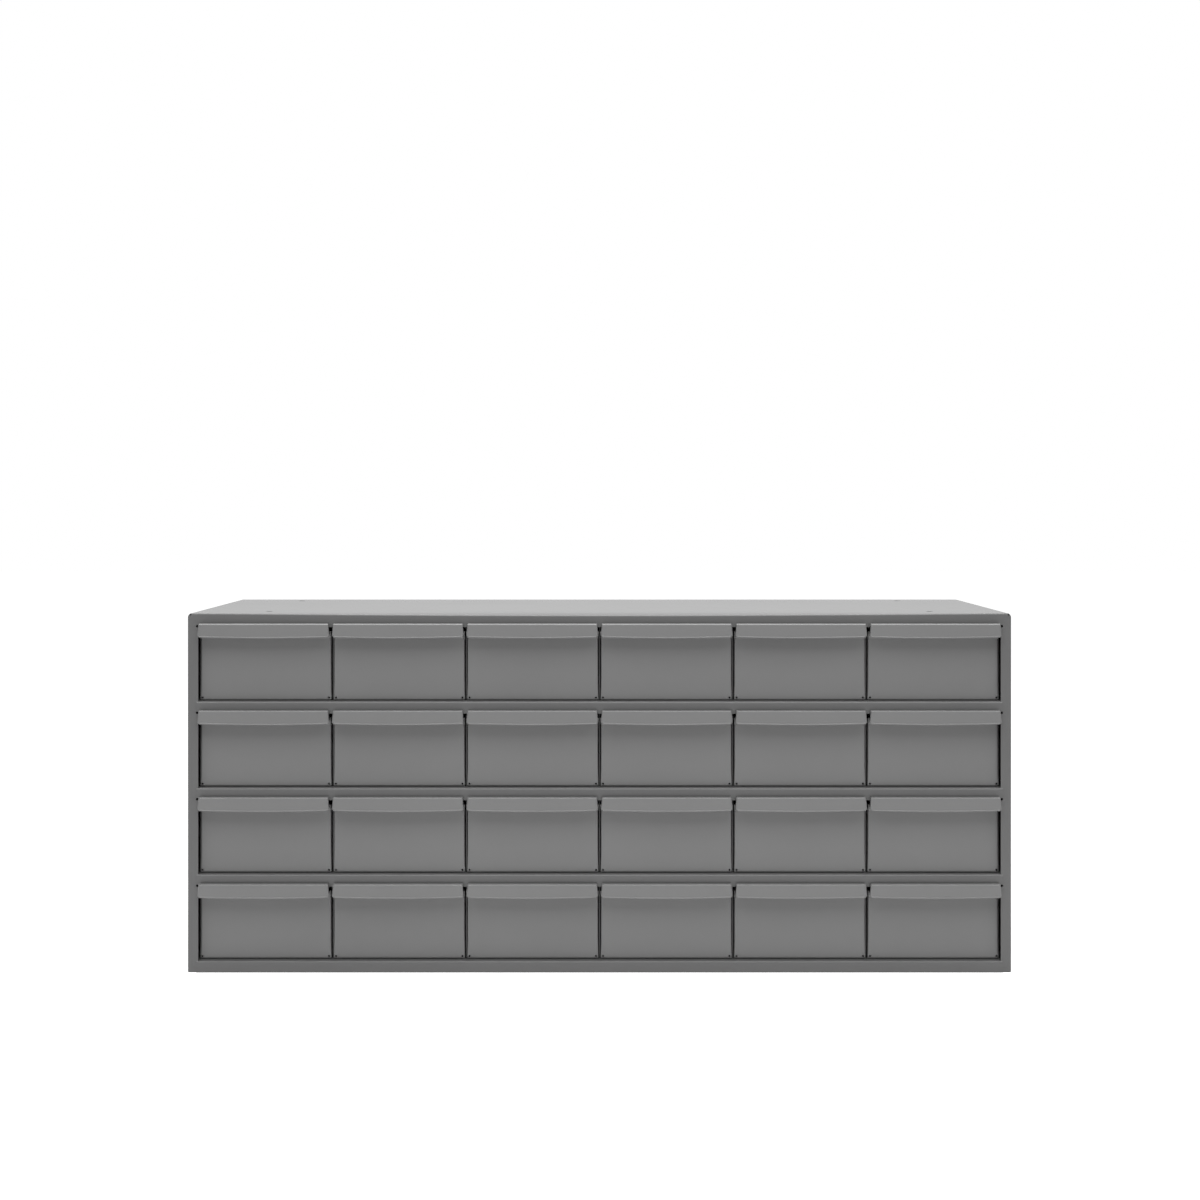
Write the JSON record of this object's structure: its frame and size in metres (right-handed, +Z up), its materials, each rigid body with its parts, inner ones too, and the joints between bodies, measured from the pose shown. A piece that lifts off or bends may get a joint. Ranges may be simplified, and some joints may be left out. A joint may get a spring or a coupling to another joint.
{
  "type": "parts bin cabinet",
  "caption": "Low steel cabinet of small drawers in rows and columns, each with a full-width rolled pull and a removable divider, for keeping small parts on a bench or stacked.",
  "frame": {"origin": "middle of the rectangle that the cabinet covers on the bench, pulls included, at bench height", "axes": "+X to the right seen from the front, +Y from the drawer fronts back into the case, +Z up"},
  "size_m": [0.8572, 0.308, 0.3738],
  "materials": {
    "case_enamel": "baked grey enamel, semi-gloss, very fine orange peel",
    "drawer_enamel": "baked grey enamel, semi-gloss, thinner and brighter on the folds",
    "divider_zinc": "plain zinc-coated steel with a faint spangle"
  },
  "bodies": {
    "case": {"case_shell": "case_enamel", "back_panel": "case_enamel", "base_shelf": "case_enamel", "shelf_1": "case_enamel", "shelf_2": "case_enamel", "shelf_3": "case_enamel", "partition_1": "case_enamel", "partition_2": "case_enamel", "partition_3": "case_enamel", "partition_4": "case_enamel", "partition_5": "case_enamel", "end_guides": "case_enamel"},
    "bin_r1_c1": {"drawer_r1_c1": "drawer_enamel", "divider_r1_c1": "divider_zinc"},
    "bin_r1_c2": {"drawer_r1_c2": "drawer_enamel", "divider_r1_c2": "divider_zinc"},
    "bin_r1_c3": {"drawer_r1_c3": "drawer_enamel", "divider_r1_c3": "divider_zinc"},
    "bin_r1_c4": {"drawer_r1_c4": "drawer_enamel", "divider_r1_c4": "divider_zinc"},
    "bin_r1_c5": {"drawer_r1_c5": "drawer_enamel", "divider_r1_c5": "divider_zinc"},
    "bin_r1_c6": {"drawer_r1_c6": "drawer_enamel", "divider_r1_c6": "divider_zinc"},
    "bin_r2_c1": {"drawer_r2_c1": "drawer_enamel", "divider_r2_c1": "divider_zinc"},
    "bin_r2_c2": {"drawer_r2_c2": "drawer_enamel", "divider_r2_c2": "divider_zinc"},
    "bin_r2_c3": {"drawer_r2_c3": "drawer_enamel", "divider_r2_c3": "divider_zinc"},
    "bin_r2_c4": {"drawer_r2_c4": "drawer_enamel", "divider_r2_c4": "divider_zinc"},
    "bin_r2_c5": {"drawer_r2_c5": "drawer_enamel", "divider_r2_c5": "divider_zinc"},
    "bin_r2_c6": {"drawer_r2_c6": "drawer_enamel", "divider_r2_c6": "divider_zinc"},
    "bin_r3_c1": {"drawer_r3_c1": "drawer_enamel", "divider_r3_c1": "divider_zinc"},
    "bin_r3_c2": {"drawer_r3_c2": "drawer_enamel", "divider_r3_c2": "divider_zinc"},
    "bin_r3_c3": {"drawer_r3_c3": "drawer_enamel", "divider_r3_c3": "divider_zinc"},
    "bin_r3_c4": {"drawer_r3_c4": "drawer_enamel", "divider_r3_c4": "divider_zinc"},
    "bin_r3_c5": {"drawer_r3_c5": "drawer_enamel", "divider_r3_c5": "divider_zinc"},
    "bin_r3_c6": {"drawer_r3_c6": "drawer_enamel", "divider_r3_c6": "divider_zinc"},
    "bin_r4_c1": {"drawer_r4_c1": "drawer_enamel", "divider_r4_c1": "divider_zinc"},
    "bin_r4_c2": {"drawer_r4_c2": "drawer_enamel", "divider_r4_c2": "divider_zinc"},
    "bin_r4_c3": {"drawer_r4_c3": "drawer_enamel", "divider_r4_c3": "divider_zinc"},
    "bin_r4_c4": {"drawer_r4_c4": "drawer_enamel", "divider_r4_c4": "divider_zinc"},
    "bin_r4_c5": {"drawer_r4_c5": "drawer_enamel", "divider_r4_c5": "divider_zinc"},
    "bin_r4_c6": {"drawer_r4_c6": "drawer_enamel", "divider_r4_c6": "divider_zinc"}
  },
  "joints": [
    {"name": "slide_r1_c1", "type": "slide", "parent": "case", "child": "bin_r1_c1", "axis": [0, -1, 0], "range_m": [0, 0.262]},
    {"name": "slide_r1_c2", "type": "slide", "parent": "case", "child": "bin_r1_c2", "axis": [0, -1, 0], "range_m": [0, 0.262]},
    {"name": "slide_r1_c3", "type": "slide", "parent": "case", "child": "bin_r1_c3", "axis": [0, -1, 0], "range_m": [0, 0.262]},
    {"name": "slide_r1_c4", "type": "slide", "parent": "case", "child": "bin_r1_c4", "axis": [0, -1, 0], "range_m": [0, 0.262]},
    {"name": "slide_r1_c5", "type": "slide", "parent": "case", "child": "bin_r1_c5", "axis": [0, -1, 0], "range_m": [0, 0.262]},
    {"name": "slide_r1_c6", "type": "slide", "parent": "case", "child": "bin_r1_c6", "axis": [0, -1, 0], "range_m": [0, 0.262]},
    {"name": "slide_r2_c1", "type": "slide", "parent": "case", "child": "bin_r2_c1", "axis": [0, -1, 0], "range_m": [0, 0.262]},
    {"name": "slide_r2_c2", "type": "slide", "parent": "case", "child": "bin_r2_c2", "axis": [0, -1, 0], "range_m": [0, 0.262]},
    {"name": "slide_r2_c3", "type": "slide", "parent": "case", "child": "bin_r2_c3", "axis": [0, -1, 0], "range_m": [0, 0.262]},
    {"name": "slide_r2_c4", "type": "slide", "parent": "case", "child": "bin_r2_c4", "axis": [0, -1, 0], "range_m": [0, 0.262]},
    {"name": "slide_r2_c5", "type": "slide", "parent": "case", "child": "bin_r2_c5", "axis": [0, -1, 0], "range_m": [0, 0.262]},
    {"name": "slide_r2_c6", "type": "slide", "parent": "case", "child": "bin_r2_c6", "axis": [0, -1, 0], "range_m": [0, 0.262]},
    {"name": "slide_r3_c1", "type": "slide", "parent": "case", "child": "bin_r3_c1", "axis": [0, -1, 0], "range_m": [0, 0.262]},
    {"name": "slide_r3_c2", "type": "slide", "parent": "case", "child": "bin_r3_c2", "axis": [0, -1, 0], "range_m": [0, 0.262]},
    {"name": "slide_r3_c3", "type": "slide", "parent": "case", "child": "bin_r3_c3", "axis": [0, -1, 0], "range_m": [0, 0.262]},
    {"name": "slide_r3_c4", "type": "slide", "parent": "case", "child": "bin_r3_c4", "axis": [0, -1, 0], "range_m": [0, 0.262]},
    {"name": "slide_r3_c5", "type": "slide", "parent": "case", "child": "bin_r3_c5", "axis": [0, -1, 0], "range_m": [0, 0.262]},
    {"name": "slide_r3_c6", "type": "slide", "parent": "case", "child": "bin_r3_c6", "axis": [0, -1, 0], "range_m": [0, 0.262]},
    {"name": "slide_r4_c1", "type": "slide", "parent": "case", "child": "bin_r4_c1", "axis": [0, -1, 0], "range_m": [0, 0.262]},
    {"name": "slide_r4_c2", "type": "slide", "parent": "case", "child": "bin_r4_c2", "axis": [0, -1, 0], "range_m": [0, 0.262]},
    {"name": "slide_r4_c3", "type": "slide", "parent": "case", "child": "bin_r4_c3", "axis": [0, -1, 0], "range_m": [0, 0.262]},
    {"name": "slide_r4_c4", "type": "slide", "parent": "case", "child": "bin_r4_c4", "axis": [0, -1, 0], "range_m": [0, 0.262]},
    {"name": "slide_r4_c5", "type": "slide", "parent": "case", "child": "bin_r4_c5", "axis": [0, -1, 0], "range_m": [0, 0.262]},
    {"name": "slide_r4_c6", "type": "slide", "parent": "case", "child": "bin_r4_c6", "axis": [0, -1, 0], "range_m": [0, 0.262]}
  ]
}
